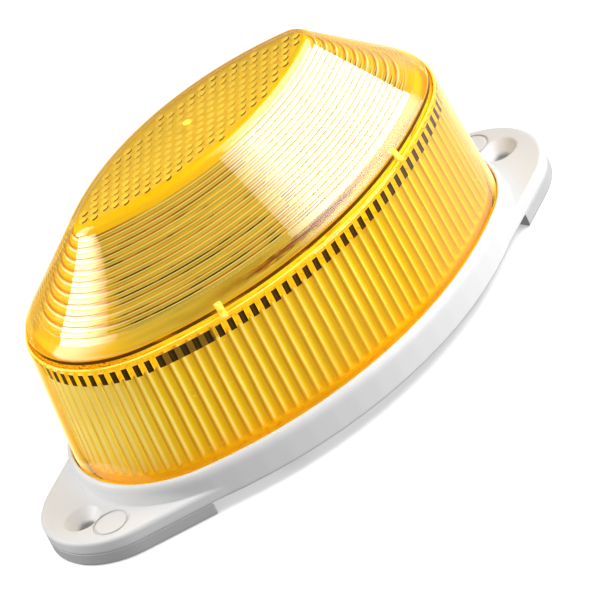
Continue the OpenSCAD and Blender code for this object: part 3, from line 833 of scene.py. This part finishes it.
def glass_tube():
    """Clear glass with a little frost and a mirror that grows towards its edges."""
    mat, t = material("tube_glass")
    streaks = noise(t, node(t, "ShaderNodeTexCoord").outputs["Object"], 300, 2.0)
    fresnel = node(t, "ShaderNodeFresnel", {"IOR": 1.5}).outputs[0]
    mirror = maths(t, "MULTIPLY_ADD", fresnel, 0.6, 0.02)
    tint = mix(t, rise(t, streaks, 0.3, 0.7), (0.88, 0.93, 0.94), (0.97, 0.98, 0.98))
    clear = node(t, "ShaderNodeBsdfTransparent", {"Color": tint})
    frost = node(t, "ShaderNodeBsdfPrincipled", {"Base Color": tint, "Roughness": 0.3})
    body = node(t, "ShaderNodeMixShader", {0: 0.22, 1: clear.outputs[0], 2: frost.outputs[0]})
    gloss = node(t, "ShaderNodeBsdfGlossy", {"Roughness": maths(t, "MULTIPLY_ADD", streaks, 0.06, 0.01)})
    output(t, node(t, "ShaderNodeMixShader", {0: mirror, 1: body.outputs[0], 2: gloss.outputs[0]}))
    return mat


finish = {slot: moulded(slot, *values) for slot, values in FINISHES.items()}
finish["tube_glass"] = glass_tube()
finish["amber_lens"] = LENS_MATERIALS[LENS_SLOT["amber_skin_wall"]]

for part in frame["record"]["subparts"]:
    obj = frame["nodes"][part["node"]]
    obj.data.materials.clear()
    obj.data.materials.append(finish[part["material_slot"]])

# ---------------------------------------------------------------- stage, light and camera

AZ, EL, ROLL = math.radians(-26.6), math.radians(31.45), math.radians(-26.85)
DISTANCE = 1.6667
VIEW_WIDTH = 0.11334
SENSOR = 36
# The view's middle, in metres across and up from the centre of the base's rim
AIM_ACROSS, AIM_UP = 0.002956, 0.002626


def facing_matrix(x, y, z):
    """Rotation whose columns are the three given axes."""
    return Matrix((x, y, z)).transposed().to_4x4()


def build_camera():
    back = Vector((math.sin(AZ) * math.cos(EL), -math.cos(AZ) * math.cos(EL), math.sin(EL)))
    side = Vector((math.cos(AZ), math.sin(AZ), 0))
    up = back.cross(side)
    cam_x = side * math.cos(ROLL) + up * math.sin(ROLL)
    cam_y = up * math.cos(ROLL) - side * math.sin(ROLL)
    aim = Vector((0, 0, RIM_Z * MM)) + cam_x * AIM_ACROSS + cam_y * AIM_UP
    cam = bpy.data.objects.new("camera", bpy.data.cameras.new("camera"))
    cam.data.sensor_width = SENSOR
    cam.data.lens = SENSOR * DISTANCE / VIEW_WIDTH
    cam.data.clip_start, cam.data.clip_end = 0.1, 20
    cam.matrix_world = Matrix.Translation(aim + back * DISTANCE) @ facing_matrix(cam_x, cam_y, back)
    bpy.context.scene.collection.objects.link(cam)
    bpy.context.scene.camera = cam


build_camera()


def build_floor():
    """A wide pale floor just under the feet, which glows a little and isn't seen in reflections."""
    mat, t = material("studio_floor")
    clouds = noise(t, node(t, "ShaderNodeTexCoord").outputs["Object"], 3, 3.0)
    surface = {
        "Base Color": levels(t, clouds, (0.3, 0.90), (0.7, 0.94)),
        "Roughness": 0.9,
        "Specular IOR Level": 0.1,
        "Emission Color": (1, 1, 1, 1),
        "Emission Strength": 0.3,
    }
    output(t, node(t, "ShaderNodeBsdfPrincipled", surface))
    half = 4000
    corners = [(-half, -half, 0), (half, -half, 0), (half, half, 0), (-half, half, 0)]
    obj = new_object("studio_floor", corners, [(0, 1, 2, 3)], [mat])
    obj.location.z = -0.05 * MM
    obj.visible_diffuse = False
    obj.visible_glossy = False


build_floor()


def panel(name, at, facing, along, size, radiance, axis=0, shares=None):
    """A rectangular softbox at a place in metres, its back to `facing` and its width along `along`.

    shares dims it along its width (axis 0) or its height (axis 1), as pairs of place and share.
    """
    width, height = size
    data = bpy.data.lights.new(name, "AREA")
    if shares:
        data.use_nodes = True
        tree = data.node_tree
        place = node(tree, "ShaderNodeNewGeometry").outputs["Parametric"]
        across = node(tree, "ShaderNodeSeparateXYZ", {0: place}).outputs[axis]
        tree.links.new(levels(tree, across, *shares), tree.nodes["Emission"].inputs["Strength"])
    data.shape = "RECTANGLE"
    data.size, data.size_y = width, height
    data.energy = radiance * math.pi * width * height
    z = Vector(facing).normalized()
    x = (Vector(along) - z * Vector(along).dot(z)).normalized()
    obj = bpy.data.objects.new(name, data)
    obj.matrix_world = Matrix.Translation(at) @ facing_matrix(x, z.cross(x), z)
    obj.visible_camera = False
    bpy.context.scene.collection.objects.link(obj)


panel(
    "softbox_right",
    at=(0.397, -0.223, 0.421),
    facing=(0.66, -0.37, 0.65),
    along=(0.61, 0.505, -0.346),
    size=(0.58, 0.24),
    radiance=6.9,
    shares=((0.0, 0.18), (0.22, 1.0)),
)
panel(
    "softbox_left",
    at=(-0.1345, -0.014, 0.1816),
    facing=(-0.861, 0.433, 0.265),
    along=(-0.039, -0.577, 0.816),
    size=(0.36, 0.0504),
    radiance=6.2,
    axis=1,
    shares=((0.0, 0.1), (0.45, 1.0)),
)
panel(
    "softbox_low",
    at=(0.52, -0.73, 0.13),
    facing=(0.57, -0.81, 0.11),
    along=(-0.81, -0.57, 0.0),
    size=(0.6, 0.4),
    radiance=6.2,
)


def build_world():
    """Even pale light all round, which reflections see as dark but for a bright patch low on the right."""
    world = bpy.data.worlds.new("studio")
    world.use_nodes = True
    tree = world.node_tree
    sky = tree.nodes["Background"]
    sky.inputs["Color"].default_value = (1, 1, 1, 1)
    towards = node(tree, "ShaderNodeTexCoord").outputs["Generated"]
    ins = {0: towards, 1: (0.84, 0.10, -0.53)}
    low_right = node(tree, "ShaderNodeVectorMath", ins, operation="DOT_PRODUCT").outputs["Value"]
    mirrored = levels(tree, low_right, (0.7, 0.09), (0.97, 1.2))
    glossy = node(tree, "ShaderNodeLightPath").outputs["Is Glossy Ray"]
    tree.links.new(mix(tree, glossy, (0.36, 0.36, 0.36), mirrored), sky.inputs["Strength"])
    bpy.context.scene.world = world


build_world()
bpy.context.scene.view_settings.view_transform = "Standard"
